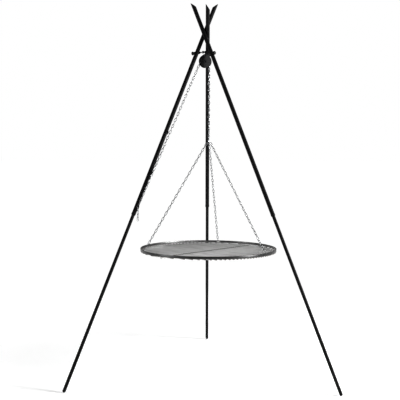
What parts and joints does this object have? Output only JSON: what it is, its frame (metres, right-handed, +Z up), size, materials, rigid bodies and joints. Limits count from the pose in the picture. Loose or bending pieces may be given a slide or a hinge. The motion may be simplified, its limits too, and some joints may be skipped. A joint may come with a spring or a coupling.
{
  "type": "tripod grill",
  "caption": "Crossed-leg tripod of socketed tubes whose pulley chain raises and lowers a round rod grate hung on chains.",
  "frame": {"origin": "on the ground, at the middle of the box round the whole tripod", "axes": "+Z up, -Y towards the viewer of the picture with two legs in front, +X to the viewer's right"},
  "size_m": [1.3302, 1.1645, 1.8997],
  "materials": {
    "black_coating": "satin black coating",
    "black_plastic": "fine matt",
    "zinc_plating": "bright zinc plating",
    "raw_steel": "bare steel, lightly scaled"
  },
  "bodies": {
    "head": {"Head_Ring": "black_coating", "Hanger": "black_coating", "Pulley_Cheek_Front": "black_coating", "Pulley_Cheek_Back": "black_coating", "Pulley_Pin": "black_coating", "Pulley_Axle": "black_coating", "Chain_Over_Sheave": "zinc_plating"},
    "sheave": {"Sheave": "black_coating"},
    "left_leg": {"Leg_Left_Upper_Tube": "black_coating", "Leg_Left_Eye_Bolt": "black_coating", "Leg_Left_Outer_Saddle": "black_plastic", "Leg_Left_Inner_Saddle": "black_plastic", "Leg_Left_Inner_Nut": "black_coating", "Leg_Left_Cap_Nut": "black_plastic", "Chain_Hook_1": "black_coating", "Chain_Hook_2": "black_coating", "Chain_Hook_3": "black_coating", "Height_Chain_Leg_Side": "zinc_plating"},
    "left_lower_leg": {"Leg_Left_Lower_Tube": "black_coating", "Leg_Left_Foot_Plug": "black_plastic"},
    "right_leg": {"Leg_Right_Upper_Tube": "black_coating", "Leg_Right_Eye_Bolt": "black_coating", "Leg_Right_Outer_Saddle": "black_plastic", "Leg_Right_Inner_Saddle": "black_plastic", "Leg_Right_Inner_Nut": "black_coating", "Leg_Right_Cap_Nut": "black_plastic"},
    "right_lower_leg": {"Leg_Right_Lower_Tube": "black_coating", "Leg_Right_Foot_Plug": "black_plastic"},
    "rear_leg": {"Leg_Rear_Upper_Tube": "black_coating", "Leg_Rear_Eye_Bolt": "black_coating", "Leg_Rear_Outer_Saddle": "black_plastic", "Leg_Rear_Inner_Saddle": "black_plastic", "Leg_Rear_Inner_Nut": "black_coating", "Leg_Rear_Cap_Nut": "black_plastic"},
    "rear_lower_leg": {"Leg_Rear_Lower_Tube": "black_coating", "Leg_Rear_Foot_Plug": "black_plastic"},
    "chain_tail": {"Height_Chain_Tail": "zinc_plating"},
    "swing_link": {"Swing_Link": "zinc_plating"},
    "main_chain": {"Height_Chain_Main": "zinc_plating"},
    "hub_swivel": {"Hub_Swivel": "zinc_plating"},
    "grate": {"Hub_Plate": "zinc_plating", "Grate_Rim": "raw_steel", "Grate_Rods": "raw_steel", "Rim_Eye_Left": "raw_steel", "Grate_Hook_Left": "zinc_plating", "Grate_Chain_Left": "zinc_plating", "Rim_Eye_Right": "raw_steel", "Grate_Hook_Right": "zinc_plating", "Grate_Chain_Right": "zinc_plating", "Rim_Eye_Rear": "raw_steel", "Grate_Hook_Rear": "zinc_plating", "Grate_Chain_Rear": "zinc_plating"}
  },
  "joints": [
    {"name": "left_leg_fold", "type": "hinge", "parent": "head", "child": "left_leg", "pos_m": [-0.00564, -0.18723, 1.6505], "axis": [0.2444, -0.9697, 0], "range_deg": [0, 2], "deforming": ["Height_Chain_Leg_Side"]},
    {"name": "right_leg_fold", "type": "hinge", "parent": "head", "child": "right_leg", "pos_m": [0.01436, -0.19291, 1.6505], "axis": [0.7176, 0.6965, 0], "range_deg": [0, 2]},
    {"name": "rear_leg_fold", "type": "hinge", "parent": "head", "child": "rear_leg", "pos_m": [0.00928, -0.17276, 1.6505], "axis": [-0.9619, 0.2732, 0], "range_deg": [0, 2]},
    {"name": "left_leg_plug", "type": "slide", "parent": "left_leg", "child": "left_lower_leg", "axis": [-0.3473, -0.2005, -0.9161], "range_m": [0, 0.07]},
    {"name": "right_leg_plug", "type": "slide", "parent": "right_leg", "child": "right_lower_leg", "axis": [0.3473, -0.2005, -0.9161], "range_m": [0, 0.07]},
    {"name": "rear_leg_plug", "type": "slide", "parent": "rear_leg", "child": "rear_lower_leg", "axis": [0, 0.401, -0.9161], "range_m": [0, 0.07]},
    {"name": "chain_tail_swing", "type": "hinge", "parent": "left_leg", "child": "chain_tail", "pos_m": [-0.32012, -0.3772, 0.87435], "axis": [0.5499, -0.8352, 0], "range_deg": [-8, 8]},
    {"name": "grate_swing_sideways", "type": "hinge", "parent": "head", "child": "swing_link", "pos_m": [0.02635, -0.17255, 1.604], "axis": [0, 1, 0], "range_deg": [-1.5, 1.5]},
    {"name": "grate_swing_forwards", "type": "hinge", "parent": "swing_link", "child": "main_chain", "pos_m": [0.02635, -0.17255, 1.58729], "axis": [1, 0, 0], "range_deg": [-1.5, 1.5]},
    {"name": "grate_lift", "type": "slide", "parent": "main_chain", "child": "hub_swivel", "axis": [0, 0, 1], "range_m": [-0.4, 0.02], "deforming": ["Height_Chain_Main"]},
    {"name": "grate_spin", "type": "hinge", "parent": "hub_swivel", "child": "grate", "pos_m": [0.02635, -0.17255, 1.19], "axis": [0, 0, 1], "continuous": true},
    {"name": "sheave_turn", "type": "hinge", "parent": "head", "child": "sheave", "pos_m": [0.006, -0.1843, 1.604], "axis": [0.5, -0.866, 0], "continuous": true}
  ],
  "couplings": [
    {"joint": "right_leg_fold", "follows": "left_leg_fold", "ratio": 1},
    {"joint": "rear_leg_fold", "follows": "left_leg_fold", "ratio": 1},
    {"joint": "sheave_turn", "follows": "grate_lift", "rad_per_m": 42.553}
  ]
}
